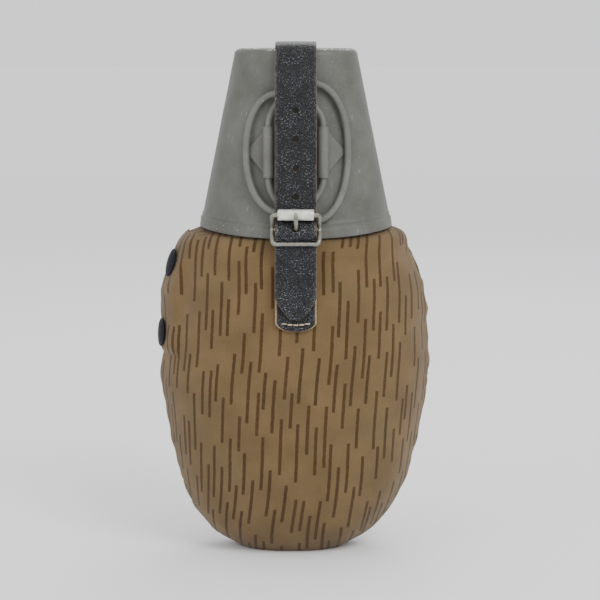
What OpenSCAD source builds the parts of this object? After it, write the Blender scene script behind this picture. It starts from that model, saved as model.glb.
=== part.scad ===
// Field canteen: aluminium flask in a padded cloth cover, with a cup inverted
// over its neck and a leather strap that buckles the cup down.
// +Z up along the bottle, -Y the front with the buckle, origin on the flat foot.

/* [Cup] */
// Height of the cup's flat end above the foot
cup_top_z = 224; // [222:0.5:226]
// Height of the cup's rim at its two sides
cup_rim_z = 145.5; // [145:0.5:146.5]
// How much lower the rim hangs at the front and the back
rim_dip = 3.3; // [2.5:0.1:3.5]
// Thickness of the cup's sheet
cup_t = 1.0; // [0.8:0.1:1.2]
// Radius of the corner around the flat end
cup_corner = 3; // [2:0.5:3.5]
// Height of the flared band along the rim
rim_band = 4.8; // [4:0.2:6]

/* [Handles] */
// Diameter of the handle wire
wire_d = 2.9; // [2.7:0.1:3]
// Distance of each hinge line from the middle
hinge_x = 11.8; // [11.6:0.1:12.2]
// Height of the middle of both hinges
hinge_z = 179.7; // [178:0.1:181]
// Length of each hinge tube
tube_l = 22; // [20:1:24]
// How far the left loop reaches from its hinge, to the middle of the wire
left_reach = 33.3; // [32:0.1:33.6]
// How far the right loop reaches, a little further, to clear the left one as they swing
right_reach = 34.3; // [33.6:0.1:35]

/* [Cover] */
// Thickness of the cloth
cloth_t = 1.2; // [1:0.1:1.4]
// Thickness of the felt lining
felt_t = 2.4; // [2:0.1:2.8]
// Space left between one layer and the next
layer_gap = 0.3; // [0.25:0.05:0.35]
// Where the side seams lie, behind the middle
seam_y = 3; // [2:0.5:4]

/* [Flask] */
// Thickness of the flask's wall
flask_t = 1.1; // [0.9:0.1:1.3]
// Radius of the neck
neck_r = 14.2; // [13.5:0.1:14.5]
// Height of the mouth
mouth_z = 171; // [169:1:173]
// Radius of the screw cap
cap_r = 18; // [17.5:0.5:19]
// Height of the top of the screw cap
cap_top_z = 181; // [179:1:183]

/* [Leather] */
// Width of the strap and of the tab under the buckle
strap_w = 18; // [17:0.5:18]
// Thickness of the strap
strap_t = 1.7; // [1.6:0.1:1.8]
// Thickness of the tab that holds the buckle
tab_t = 1.5; // [1.5:0.1:1.7]
// Distance from one strap hole to the next
hole_pitch = 12.3; // [11:0.1:13]
// Width of the belt loop
loop_w = 26; // [24:1:30]
// Thickness of the belt loop
loop_t = 2; // [1.8:0.1:2]

/* [Buckle] */
// Outer width of the frame
frame_w = 21.9; // [21:0.1:22.5]
// Radius of the roller
roller_r = 2.4; // [2.2:0.1:2.4]
// Length of the roller
roller_l = 15.6; // [14:0.2:16.4]

/* [Snaps] */
// Diameter of a snap's cap
snap_d = 12.6; // [11:0.2:13]
// Heights of the two snaps
snap_z = [98.5, 129]; // [0:1:150]

/* [Hidden] */
$fn = 48;
round_cup = 2.3;                                 // squareness of the cup's oval
round_body = 2.15;                               // squareness of the cover's oval
cup_sides = 56;
body_sides = 40;
tan_cloth = [0.55, 0.46, 0.33];
dark_leather = [0.1, 0.1, 0.11];
grey_paint = [0.5, 0.5, 0.49];
bare_steel = [0.75, 0.75, 0.73];
navy = [0.1, 0.12, 0.18];

// Cover outline: [height, half width, front depth, back depth], depths from the side seams
cover_rows = [[-0.4, 1.5, 1.5, 1.5], [-0.3, 19, 14, 10], [2, 25, 18.5, 13.5],
    [9, 34.2, 25.8, 18.5], [20, 42.5, 32.5, 22.5], [36, 50, 38, 26], [58, 55.5, 42.5, 28.8],
    [82, 58.9, 45, 30], [104, 58.2, 44.3, 29.8], [120, 56.4, 42, 28.6], [133, 53, 38.3, 26.5],
    [141, 49.5, 35, 24.6], [144, 44.5, 31.5, 22.5], [146, 38, 28, 21], [147, 32, 25, 20]];
cover_dip = 2;                                   // the shoulder follows the cup's rim down

// ---- outlines and skins ----

function clamp01(t) = max(0, min(1, t));
function ease(t) = let (u = clamp01(t)) u * u * (3 - 2 * u);
function row_at(p, i) = p[max(0, min(len(p) - 1, i))];
function through(a, b, c, d, t) =
    0.5 * (2 * b + (c - a) * t + (2 * a - 5 * b + 4 * c - d) * t * t
        + (3 * b - a - 3 * c + d) * t * t * t);
function refine(p, n) = [
    for (i = [0:len(p) - 2], j = [0:n - 1])
        through(row_at(p, i - 1), p[i], p[i + 1], row_at(p, i + 2), j / n),
    p[len(p) - 1]];

// Rows moved inwards by d, square to the outline
function inset(rows, d) = [
    for (i = [0:len(rows) - 1])
        let (a = row_at(rows, i - 1), b = row_at(rows, i + 1), v = b - a, r = rows[i])
            [r[0] + d * v[1] / norm([v[0], v[1]]), for (k = [1:3])
                r[k] - d * v[0] / norm([v[0], v[k]])]];

function power(v, e) = sign(v) * pow(abs(v), e);
function oval(row, t, e, y0, dip) =
    [row[1] * power(cos(t), 2 / e),
     y0 + (sin(t) < 0 ? row[2] : row[3]) * power(sin(t), 2 / e),
     row[0] - dip * pow(sin(t), 2)];
function body_dip(z) = cover_dip * ease((z - 100) / 40);
function cup_dip(z) = rim_dip * ease((175 - z) / 27);
function body_at(row, t) = oval(row, t, round_body, seam_y, body_dip(row[0]));
function cup_at(row, t) = oval(row, t, round_cup, 0, cup_dip(row[0]));

// Two triangles between four numbered points
function quad(a, b, c, d) = [[a, b, c], [a, c, d]];

// A closed skin around rings that have the same number of points: the first and last
// rings are closed by flat ends, or they join each other if 'joined'
module skin(rings, joined = false) {
    n = len(rings[0]);
    m = len(rings);
    sides = [for (i = [0:joined ? m - 1 : m - 2], j = [0:n - 1])
        let (k = (j + 1) % n, h = (i + 1) % m) each quad(i * n + j, h * n + j, h * n + k, i * n + k)];
    ends = [[for (j = [0:n - 1]) j], [for (j = [n - 1:-1:0]) (m - 1) * n + j]];
    polyhedron([for (r = rings) each r], joined ? sides : concat(sides, ends));
}

// A closed sheet between an outer and an inner grid of points
module sheet(outer, inner) {
    n = len(outer[0]);
    m = len(outer);
    s = m * n;
    faces = concat(
        [for (i = [0:m - 2], j = [0:n - 2]) let (a = i * n + j)
            each concat(quad(a, a + n, a + n + 1, a + 1), quad(s + a, s + a + 1, s + a + n + 1, s + a + n))],
        [for (i = [0:m - 2]) let (a = i * n, b = a + n - 1)
            each concat(quad(a, s + a, s + a + n, a + n), quad(b, b + n, s + b + n, s + b))],
        [for (j = [0:n - 2]) let (b = (m - 1) * n + j)
            each concat(quad(j, j + 1, s + j + 1, s + j), quad(b, s + b, s + b + 1, b + 1))]);
    polyhedron(concat([for (r = outer) each r], [for (r = inner) each r]), faces);
}

// Angles around an oval; 'turn' is -1 for rings listed downwards
function around(n, turn) = [for (j = [0:n - 1]) turn * 360 * j / n];

// Ribbon outline: a strip of thickness t along a line of [y, z] points
function side_of(p, i, d) = let (v = row_at(p, i + 1) - row_at(p, i - 1))
    p[i] + d * [v[1], -v[0]] / norm(v);
function ribbon(p, t) = concat(
    [for (i = [0:len(p) - 1]) side_of(p, i, t / 2)],
    [for (i = [len(p) - 1:-1:0]) side_of(p, i, -t / 2)]);
module strip(p, t, w) {
    rotate([90, 0, 90]) linear_extrude(height = w, center = true) polygon(ribbon(p, t));
}
// A cylinder from front to back, and one from left to right, centred on a [y, z] point
module bore_y(x, p, r, l) {
    translate([x, p[0], p[1]]) rotate([90, 0, 0]) cylinder(r = r, h = l, center = true);
}
module bar_x(p, r, l) {
    translate([0, p[0], p[1]]) rotate([0, 90, 0]) cylinder(r = r, h = l, center = true);
}
// What is cut off the two corners of a strap's end at height z: 'flat' is half of the
// width that stays, and the corners are 'rise' tall
module tip_corners(z, flat, rise) {
    for (s = [-1, 1]) rotate([90, 0, 0]) linear_extrude(height = 120, center = true)
        polygon([[s * flat, z - 3], [s * flat, z], [s * (strap_w / 2 + 0.5), z + rise],
            [s * (strap_w / 2 + 5), z + rise], [s * (strap_w / 2 + 5), z - 3]]);
}
// A round wire along a line of points that stays roughly upright and sideways
function wire_ring(p, i, r, n) =
    let (t = row_at(p, i + 1) - row_at(p, i - 1), s = cross(t, [0, -1, 0]),
        u = s / norm(s), v = cross(u, t) / norm(t))
        [for (j = [0:n - 1]) p[i] + r * (cos(360 * j / n) * u - sin(360 * j / n) * v)];
module wire(p, r, n) {
    skin([for (i = [0:len(p) - 1]) wire_ring(p, i, r, n)]);
}

// ---- flask ----

body_rows = refine(cover_rows, 2);
felt_depth = cloth_t + layer_gap;
flask_depth = felt_depth + felt_t + layer_gap;
shoulder_z = 149;                                // flat land that carries the neck
neck_bore = neck_r - 1.3;

module body_bowl(d_outer, d_inner, n) {
    rows_o = inset(body_rows, d_outer);
    rows_i = inset(body_rows, d_inner);
    last = len(rows_o) - 1;
    skin(concat(
        [for (i = [0:last]) [for (t = around(n, 1)) body_at(rows_o[i], t)]],
        [for (i = [last:-1:0]) [for (t = around(n, 1)) body_at(rows_i[i], t)]]));
}

// The flask's own outline: the cover's, moved inwards, then up to the neck
function flask_rows(d) = concat(
    [for (r = inset(body_rows, d)) if (r[0] < 138) r],
    [for (r = [[140.6, 36, 27, 18.8], [142, 28, 23, 16.9], [145.8, 21, 20.4, 15.2],
        [shoulder_z, 16.2, 18.4, 12.6]]) r - (d - flask_depth) * [1, 1, 1, 1]]);
// The shoulder levels out towards the neck
function flask_at(row, t) = oval(row, t, round_body, seam_y,
    body_dip(row[0]) * (1 - ease((row[0] - 141) / 4)));

module flask() {
    outer = flask_rows(flask_depth);
    inner = flask_rows(flask_depth + flask_t);
    color([0.72, 0.72, 0.7]) {
        skin(concat(
            [for (r = outer) [for (t = around(body_sides, 1)) flask_at(r, t)]],
            [for (i = [len(inner) - 1:-1:0]) [for (t = around(body_sides, 1)) flask_at(inner[i], t)]]));
        rotate_extrude() polygon([[neck_bore, shoulder_z - 3.4], [17.8, shoulder_z - 3.4],
            [17.8, shoulder_z - 2], [16, shoulder_z + 0.2], [neck_r, shoulder_z + 1.8],
            [neck_r, mouth_z - 0.6], [neck_r - 0.6, mouth_z], [neck_bore, mouth_z]]);
        for (i = [0:2]) translate([0, 0, mouth_z - 3.4 - 3.2 * i])
            rotate_extrude() polygon([[neck_r - 0.3, -1], [neck_r + 0.9, -0.25],
                [neck_r + 0.9, 0.25], [neck_r - 0.3, 1]]);
    }
}

module screw_cap() {
    skirt_z = cap_top_z - 22;
    color([0.13, 0.13, 0.13]) difference() {
        union() {
            rotate_extrude() polygon([[0, skirt_z], [cap_r, skirt_z], [cap_r, cap_top_z - 2],
                [cap_r - 2, cap_top_z], [0, cap_top_z]]);
            for (i = [0:23]) rotate([0, 0, 15 * i]) translate([cap_r, 0, skirt_z])
                cylinder(r = 0.9, h = 19.5, $fn = 16);
        }
        translate([0, 0, skirt_z - 1]) cylinder(r = neck_r + 1.2, h = mouth_z + 2.4 - skirt_z + 1);
        translate([0, 0, cap_top_z - 1]) cylinder(r = cap_r - 6, h = 2);
    }
}

module cap_seal() {
    color([0.75, 0.3, 0.2]) translate([0, 0, mouth_z + 0.1]) difference() {
        cylinder(r = neck_r + 0.8, h = 2.1);
        translate([0, 0, -1]) cylinder(r = 5, h = 5);
    }
}

// ---- cover ----

flap_from = 172;                                 // free edge of the flap, on the back
flap_to = 214;                                   // fold of the flap, on the front
flap_low_z = 89;
flap_high_z = 139.4;
flap_lift = 1.1;                                 // the flap lies this far off the cover

function body_row(z) = [z, for (k = [1:3]) lookup(z, [for (r = body_rows) [r[0], r[k]]])];
function spread(a, b, n) = [for (j = [0:n]) a + (b - a) * j / n];
function panel_grid(rows, ends, n) =
    [for (i = [0:len(rows) - 1]) [for (t = spread(ends[i][0], ends[i][1], n)) body_at(rows[i], t)]];

module panel(from, to, n) {
    ends = [for (r = body_rows) [from, to]];
    difference() {
        sheet(panel_grid(body_rows, ends, n), panel_grid(inset(body_rows, cloth_t), ends, n));
        translate([-50, -50, -10]) cube([100, 100, 10]);
    }
}

module cover_lining() {
    color([0.42, 0.4, 0.36]) difference() {
        body_bowl(felt_depth, felt_depth + felt_t, body_sides);
        rivet_pockets();
        for (z = snap_z) at_snap(z) translate([0, 0, -cloth_t - 1.6]) cylinder(r = 5, h = 3);
    }
}

module cover_front() {
    fold = body_at(body_row(flap_high_z - 20), flap_to);
    color(tan_cloth) difference() {
        panel(180.3, 359.7, 20);
        translate([0, seam_y, flap_low_z]) linear_extrude(100)
            polygon([[-20, 1], for (k = [0.4, 1.6]) k * [fold[0], fold[1] - seam_y], [-120, -30], [-120, 1]]);
    }
}

module cover_back() {
    color(tan_cloth) difference() {
        panel(0.3, flap_to - 7, 22);
        translate([-100, seam_y - 100.2, -1]) cube([100, 100, flap_low_z + 3]);
        for (z = snap_z) at_snap(z) cylinder(r = 1.7, h = 8, center = true);
        rivet_shanks(1.6);
    }
}

function flap_rows(d) = [for (z = spread(flap_low_z, flap_high_z, 8)) let (r = body_row(z))
    [r[0], r[1] + d, r[2] + d, r[3] + d]];

module cover_flap() {
    ends = [for (i = [0:8]) [flap_from, flap_to - 0.6]];
    color([0.58, 0.49, 0.35]) difference() {
        sheet(panel_grid(flap_rows(flap_lift + cloth_t), ends, 8),
            panel_grid(flap_rows(flap_lift), ends, 8));
        for (z = snap_z) at_snap(z) cylinder(r = 1.7, h = 12, center = true);
    }
}

// Folded tape around the neck opening
module cover_binding() {
    edge = body_rows[len(body_rows) - 1];
    color([0.4, 0.3, 0.19]) skin([for (s = [[2, 0.15], [2, 1.1], [-2, 1.1], [-2, -1.35], [-0.95, -1.35], [-0.95, 0.15]])
        [for (t = around(body_sides, 1)) body_at([edge[0] + s[1], edge[1] + s[0],
            edge[2] + s[0], edge[3] + s[0]], t)]], joined = true);
}

// ---- snap fasteners ----

snap_turn = 193;                                 // where the snaps lie around the cover
function body_normal(z, t) =
    let (u = body_at(body_row(z), t + 2) - body_at(body_row(z), t - 2),
        v = body_at(body_row(z + 2), t) - body_at(body_row(z - 2), t), n = cross(u, v))
        n / norm(n);
// Moves to a snap: +Z out of the cloth, the cover's own surface at 0
module at_snap(z) {
    n = body_normal(z, snap_turn);
    translate(body_at(body_row(z), snap_turn))
        rotate([0, acos(n[2]), atan2(n[1], n[0])]) children();
}
flap_face = flap_lift + cloth_t;

module snap_caps() {
    color(navy) for (z = snap_z) at_snap(z) {
        translate([0, 0, flap_face + 0.05]) rotate_extrude() polygon([[0, 0], [snap_d / 2 - 0.4, 0],
            [snap_d / 2, 0.5], [snap_d / 2 - 1.2, 1.1], [snap_d / 4, 1.4], [0, 1.5]]);
        translate([0, 0, flap_lift + 0.1]) cylinder(r = 1.45, h = cloth_t + 0.3);
    }
}

module snap_sockets() {
    color(bare_steel) for (z = snap_z) at_snap(z)
        rotate_extrude() polygon([[2.5, 0.35], [4, 0.35], [4, 0.7], [2.5, 0.7]]);
}

module snap_studs() {
    color(bare_steel) for (z = snap_z) at_snap(z)
        rotate_extrude() polygon([[0, -1.4], [1.5, -1.4], [1.5, 0.05], [4, 0.05], [4, 0.25],
            [1.6, 0.25], [1.9, 0.7], [1.5, 0.95], [0, 0.95]]);
}

module snap_backs() {
    color(bare_steel) for (z = snap_z) at_snap(z) translate([0, 0, -cloth_t - 1.1])
        cylinder(r = 4, h = 0.7);
}

// ---- rivets through the back ----

anchor_rivet_z = [122.4, 130.6];
belt_rivet_x = [-7, 7];
belt_rivet_z = 51;
module rivet_shanks(r) {
    for (z = anchor_rivet_z) bore_y(0, [30, z], r, 20);
    for (x = belt_rivet_x) bore_y(x, [30, belt_rivet_z], r, 20);
}
module rivet_pockets() {
    for (z = anchor_rivet_z) bore_y(0, [27, z], 4.2, 7);
    for (x = belt_rivet_x) bore_y(x, [27, belt_rivet_z], 4.2, 7);
}

// ---- cup ----

cup_wall_top = [27.3, 20.2, 19.2];               // half width, front and back just below the corner
cup_wall_low = [40.9, 28.4, 25];                 // the same just above the rim band
cup_rim = [42.7, 30.4, 26.8];
wall_low_z = cup_rim_z + rim_band + 3.2;
function cup_wall(z) = let (k = (cup_top_z - cup_corner - z) / (cup_top_z - cup_corner - wall_low_z))
    cup_wall_top + k * (cup_wall_low - cup_wall_top);
cup_rows = concat(
    [for (a = [0:30:90]) [cup_top_z - cup_corner * (1 - cos(a)), for (k = [0:2])
        cup_wall_top[k] - cup_corner * (1 - sin(a))]],
    [for (z = [214, 205, 196, 187, 178, 169, 161]) [z, each cup_wall(z)]],
    [[wall_low_z, each cup_wall_low],
     [cup_rim_z + rim_band + 1.2, each (cup_wall_low + [0.4, 0.4, 0.4])],
     [cup_rim_z + rim_band, each (cup_wall_low + [1.1, 1.1, 1.1])],
     [cup_rim_z, each cup_rim]]);
function cup_row_in(r) = [r[0], r[1] - cup_t, r[2] - cup_t, r[3] - cup_t];

module cup_shell() {
    flat_end = cup_rows[0] - [cup_t, 0.2, 0.2, 0.2];
    inner = concat([flat_end], [for (i = [2:len(cup_rows) - 1]) cup_row_in(cup_rows[i])]);
    skin(concat([for (r = cup_rows) [for (t = around(cup_sides, -1)) cup_at(r, t)]],
        [for (i = [len(inner) - 1:-1:0]) [for (t = around(cup_sides, -1)) cup_at(inner[i], t)]]));
}

module cup() {
    color(grey_paint) difference() {
        cup_shell();
        in_bracket() rivet_row(1.25, 24);
    }
}

// ---- handle bracket, in a frame whose +Z runs up the front wall ----

wall_tilt = 6.8;
hinge_out = 3.75;                                // hinge line to the wall beside it
function front_wall(x, z) = let (w = cup_wall(z))
    w[1] * pow(1 - pow(abs(x) / w[0], round_cup), 1 / round_cup);
hinge_depth = front_wall(hinge_x, hinge_z) + hinge_out;
module in_bracket() {
    translate([0, -hinge_depth, hinge_z]) rotate([-wall_tilt, 0, 0]) children();
}
tube_r = wire_d / 2 + 1;
rivet_at = [[-5, -6], [5, -6], [-5, 6], [5, 6]];
module rivet_row(r, l) {
    for (p = rivet_at) translate([p[0], 0, p[1]]) rotate([90, 0, 0]) cylinder(r = r, h = l, center = true);
}

// Six-sided plate bent to the wall
plate_t = 1;
plate_half_w = 21;
plate_half_h = 11;
function plate_h(x) = abs(x) < 12.5 ? plate_half_h
    : 1 + (plate_half_h - 1) * (plate_half_w - abs(x)) / (plate_half_w - 12.5);
plate_x = [-plate_half_w, -17, -12.5, -8, -4, 0, 4, 8, 12.5, 17, plate_half_w];
module bracket_plate() {
    grid = function (out) [for (x = plate_x) [for (k = [-1, -0.5, 0, 0.5, 1])
        let (z = hinge_z + k * plate_h(x)) [x, -front_wall(x, z) - out, z]]];
    color(grey_paint) difference() {
        sheet(grid(0.15 + plate_t), grid(0.15));
        in_bracket() rivet_row(1.25, 24);
    }
}

web_in = 1.55;                                   // inner face of the web, in from the hinge line
module hinge_saddle() {
    color(grey_paint) in_bracket() difference() {
        union() {
            translate([-hinge_x, web_in - 0.9, -tube_l / 2]) cube([2 * hinge_x, 0.9, tube_l]);
            for (s = [-1, 1]) translate([s * hinge_x, 0, -tube_l / 2]) cylinder(r = tube_r, h = tube_l);
        }
        for (s = [-1, 1]) translate([s * hinge_x, 0, -tube_l])
            cylinder(r = wire_d / 2 + 0.06, h = 2 * tube_l);
        rivet_row(1.25, 24);
    }
}

module bracket_rivets() {
    color(bare_steel) in_bracket() for (p = rivet_at) translate([p[0], 0, p[1]])
        rotate([90, 0, 0]) {
            translate([0, 0, -5.6]) cylinder(r = 1.2, h = 5);
            translate([0, 0, -0.64]) cylinder(r1 = 2.2, r2 = 1.6, h = 0.9);
            translate([0, 0, -6]) cylinder(r1 = 1.7, r2 = 2.1, h = 0.9);
        }
}

// ---- wire handles ----

function bez(p, t) = pow(1 - t, 3) * p[0] + 3 * pow(1 - t, 2) * t * p[1]
    + 3 * (1 - t) * t * t * p[2] + t * t * t * p[3];
// Half of a loop as [distance from the hinge, height above its middle]; it starts inside
// the straight pin that turns in the tube
pin_end = tube_l / 2 + 0.5;
function half_loop(h, reach) = concat([[0, pin_end - 1]],
    [for (t = [0:0.125:1]) bez([[0, pin_end + 0.3], [0, tube_l / 2 + 7], [8, h], [18, h]], t)],
    [for (a = [15:15:90]) [18 + (reach - 18) * power(sin(a), 0.9), h * power(cos(a), 0.9)]]);
function hinge_line(z) = hinge_depth - tan(wall_tilt) * (z - hinge_z);
// How far the wire stands off the wall: side -1 is the left loop, which crosses over the other
function stand_off(side, s) = side < 0
    ? 2.8 + 3.1 * ease((s - 1) / 5) * (1 - ease((s - 15) / 14))
    : 2.75;
function loop_point(side, q) =
    let (x = side * (q[0] - hinge_x), z = hinge_z + q[1],
        on_wall = front_wall(x, z) + stand_off(side, q[0]), k = ease(q[0] / 7))
        [x, -(hinge_line(z) * (1 - k) + on_wall * k), z];
function loop_path(side, h, reach) = let (q = half_loop(h, reach), n = len(q))
    concat([for (i = [0:n - 1]) loop_point(side, q[i])],
        [for (i = [n - 2:-1:0]) loop_point(side, [q[i][0], -q[i][1]])]);
module handle(side, h, reach) {
    path = loop_path(side, h, reach);
    wire(path, wire_d / 2 - 0.05, 12);
    in_bracket() translate([-side * hinge_x, 0, -pin_end]) cylinder(r = wire_d / 2, h = 2 * pin_end);
}
module handle_left() {
    color([0.56, 0.57, 0.55]) handle(-1, 25.6, left_reach);
}
module handle_right() {
    color([0.56, 0.57, 0.55]) handle(1, 29.7, right_reach);
}

// ---- strap: [y, z] along the middle of the leather, from the back over the cup ----

buckle_top = [-40.75, 153.75];
buckle_mid = [-36.6, 147.2];
buckle_low = [-40.9, 141.2];
anchor_line = refine([[33.3, 112], [32.9, 118.5], [30.8, 131], [29.1, 138.9]], 3);
rear_line = refine([[29.0, 139.3], [28.6, 146], [27.4, 152], [26.5, 158], [23.9, 188], [21.1, 217.2]], 3);
over_line = refine([[21.05, 217.6], [20.7, 220.6], [18.6, 224.6], [12, 225.8], [0, 226.1],
    [-12, 225.9], [-18.6, 225.1], [-22.4, 221.6], [-24.7, 217.6]], 3);
front_line = refine([[-24.9, 217.2], [-29.9, 209], [-33.5, 181], [-36.4, 158.5], [-37.0, 153.9],
    [-38.7, 150.4], [-40.7, 146.9], [-39.4, 143.4], [-38.95, 140.2], [-40.9, 131], [-42.0, 125], [-42.9, 118.5], [-44.1, 108.7]], 4);
first_hole_z = 198;

module strap_anchor() {
    color(dark_leather) difference() {
        strip(anchor_line, strap_t, strap_w);
        rivet_shanks(1.6);
    }
}
module strap_rear() {
    color(dark_leather) strip(rear_line, strap_t, strap_w);
}
module strap_over() {
    color(dark_leather) strip(over_line, strap_t, strap_w);
}
module strap_front() {
    tip = front_line[len(front_line) - 1];
    color(dark_leather) difference() {
        strip(front_line, strap_t, strap_w);
        for (i = [0:3]) bore_y(0, [-35, first_hole_z - i * hole_pitch], 1.5, 24);
        bore_y(0, [-40, 148.1], 1.8, 12);
        tip_corners(tip[1], 1.4, 9);
    }
}

// ---- tab sewn to the cover, folded around the middle bar of the buckle ----

tab_end_z = 103.3;
wrap_r = 1.12 + tab_t / 2;
tab_back = refine([[-42.6, tab_end_z], [-41.1, 112], [-40.2, 118.5], [-36.9, 131], [-35.1, 137.5],
    [-34.6, 143]], 3);
tab_fold = [for (a = [0:22.5:180]) buckle_mid + wrap_r * [cos(a), sin(a)]];
tab_turned = refine([[buckle_mid[0] - wrap_r, 146.4], [-37.0, 142], [-37.1, 138], [-38.8, 131],
    [-39.6, 128.2]], 2);

module buckle_tab() {
    color(dark_leather) difference() {
        strip(concat(tab_back, tab_fold, tab_turned), tab_t, strap_w);
        translate([0, buckle_mid[0] - 1.5, buckle_mid[1] - 0.2]) cube([3.6, 9, 8.8], center = true);
        tip_corners(tab_end_z, 4.5, 4.5);
    }
}

module tab_stitches() {
    color([0.5, 0.46, 0.38]) for (x = [-5:2.5:5])
        translate([x, -43.75, 106.6]) cube([1.5, 0.5, 0.8], center = true);
}

// ---- buckle ----

module side_bar(p, q, r) {
    v = q - p;
    translate(p) rotate(atan2(v[1], v[0])) translate([0, 0.05 - r]) square([norm(v), 2 * r - 0.1]);
    translate(p) circle(r = r);
    translate(q) circle(r = r);
}

side_t = 1.75;
module buckle_frame() {
    inner_l = frame_w - 2 * side_t + 0.6;
    color(bare_steel) {
        for (s = [-1, 1]) translate([s * (frame_w - side_t) / 2, 0, 0])
            rotate([90, 0, 90]) linear_extrude(height = side_t, center = true) {
                side_bar(buckle_top, buckle_mid, 1.35);
                side_bar(buckle_mid, buckle_low, 1.35);
            }
        bar_x(buckle_top, 1.2, inner_l);
        bar_x(buckle_mid, 1, inner_l);
        bar_x(buckle_low, 1, inner_l);
    }
}

module buckle_roller() {
    color(bare_steel) difference() {
        bar_x(buckle_top, roller_r, roller_l);
        bar_x(buckle_top, 1.28, roller_l + 2);
    }
}

prong_line = [[-37.6, 147.3], [-41.4, 148.0], [-42.8, 149.2], [-44.35, 151.4], [-44.45, 155]];
module buckle_prong() {
    color([0.6, 0.6, 0.58]) difference() {
        union() {
            bar_x(buckle_mid, 2, 3);
            strip(prong_line, 2.1, 2.2);
        }
        bar_x(buckle_mid, 1.08, 5);
    }
}

// ---- belt loop on the back ----

belt_line = refine([[32.4, 46], [33.1, 54], [36, 61], [41, 70], [42, 80], [42, 102], [40.2, 111],
    [36.2, 118.5], [34.1, 125.5], [32.5, 133.5]], 3);
module belt_loop() {
    color(dark_leather) difference() {
        strip(belt_line, loop_t, loop_w);
        for (z = anchor_rivet_z) bore_y(0, [34, z], 1.6, 14);
        for (x = belt_rivet_x) bore_y(x, [33, belt_rivet_z], 1.6, 10);
    }
}

// A rivet with a domed head behind and a burr inside: face is the leather's, inside the
// cloth's, and the head leans with the leather
module rivet(x, z, face, inside, lean) {
    translate([x, inside, z]) rotate([-90, 0, 0]) {
        cylinder(r = 1.45, h = face - inside + 0.3);
        translate([0, 0, -0.3]) cylinder(r = 3.4, h = 0.7);
        translate([0, 0, face - inside]) rotate([lean, 0, 0]) rotate_extrude()
            polygon([[0, 0], [3.8, 0], [3.6, 0.6], [2.2, 1.25], [0, 1.5]]);
    }
}
module belt_loop_rivets() {
    color(bare_steel) for (x = belt_rivet_x) rivet(x, belt_rivet_z, 34.2, 28.3, -8);
}
module anchor_rivets() {
    color(bare_steel) {
        rivet(0, anchor_rivet_z[0], 36.3, 28.6, 17);
        rivet(0, anchor_rivet_z[1], 34.4, 27.2, 12);
    }
}

flask();
screw_cap();
cap_seal();
cover_lining();
cover_front();
cover_back();
cover_flap();
cover_binding();
snap_caps();
snap_sockets();
snap_studs();
snap_backs();
cup();
bracket_plate();
hinge_saddle();
bracket_rivets();
handle_left();
handle_right();
strap_anchor();
strap_rear();
strap_over();
strap_front();
buckle_tab();
tab_stitches();
buckle_frame();
buckle_roller();
buckle_prong();
belt_loop();
belt_loop_rivets();
anchor_rivets();
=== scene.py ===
"""The looks of the field canteen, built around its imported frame.

Lengths in the shapes below are millimetres in the frame's own axes: +Z up along the bottle, -Y the front.
"""

import math

import bpy
import numpy as np
from mathutils import Matrix, Vector


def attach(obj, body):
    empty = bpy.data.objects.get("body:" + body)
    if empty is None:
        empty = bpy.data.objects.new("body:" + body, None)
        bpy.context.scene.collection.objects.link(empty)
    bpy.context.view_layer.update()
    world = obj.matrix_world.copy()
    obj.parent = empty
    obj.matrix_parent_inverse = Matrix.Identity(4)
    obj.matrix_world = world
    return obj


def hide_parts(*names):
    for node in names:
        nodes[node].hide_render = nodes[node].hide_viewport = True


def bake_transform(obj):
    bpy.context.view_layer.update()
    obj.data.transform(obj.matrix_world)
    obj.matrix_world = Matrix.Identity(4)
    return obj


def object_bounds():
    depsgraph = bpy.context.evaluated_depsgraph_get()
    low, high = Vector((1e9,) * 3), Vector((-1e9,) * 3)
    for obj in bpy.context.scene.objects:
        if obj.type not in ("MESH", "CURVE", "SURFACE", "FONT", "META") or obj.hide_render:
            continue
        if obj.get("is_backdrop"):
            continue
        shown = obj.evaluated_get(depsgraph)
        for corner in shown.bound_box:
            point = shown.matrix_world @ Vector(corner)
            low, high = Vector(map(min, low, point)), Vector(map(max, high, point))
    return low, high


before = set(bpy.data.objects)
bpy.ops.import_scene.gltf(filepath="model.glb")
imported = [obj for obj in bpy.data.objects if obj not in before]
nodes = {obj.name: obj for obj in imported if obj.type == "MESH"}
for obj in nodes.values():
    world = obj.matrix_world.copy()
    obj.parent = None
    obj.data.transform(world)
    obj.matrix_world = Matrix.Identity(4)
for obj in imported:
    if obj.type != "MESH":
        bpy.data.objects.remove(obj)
cad_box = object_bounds()
MM = 0.001
ROOT = "flask_and_cover"


# ---- numbers ----


def ease(t):
    u = np.clip(t, 0.0, 1.0)
    return u * u * (3 - 2 * u)


def power(v, e):
    return np.sign(v) * np.abs(v) ** e


def bell(d):
    return np.exp(-(d**2))


def stack(*parts):
    """The parts side by side, such as coordinates made into points."""
    return np.stack(parts, axis=-1)


def circle(sides):
    """Angles once around."""
    return np.linspace(0, 2 * math.pi, sides, endpoint=False)


def refine(points, n):
    """A smooth line through the points, n steps to each span."""
    p = np.array(points, float)
    q = np.vstack([p[:1], p, p[-1:]])
    out = []
    for i in range(len(p) - 1):
        a, b, c, d = q[i : i + 4]
        for j in range(n):
            t = j / n
            out.append(
                0.5
                * (2 * b + (c - a) * t + (2 * a - 5 * b + 4 * c - d) * t**2 + (3 * b - a - 3 * c + d) * t**3)
            )
    return np.array(out + [p[-1]])


def lengths(p):
    """The length along a line up to each of its points."""
    return np.concatenate([[0], np.cumsum(np.linalg.norm(np.diff(p, axis=0), axis=1))])


def even(points, step):
    """The same line with its points a step apart."""
    p = np.array(points, float)
    s = lengths(p)
    at = np.linspace(0, s[-1], max(2, int(round(s[-1] / step)) + 1))
    return stack(*[np.interp(at, s, column) for column in p.T])


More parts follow.
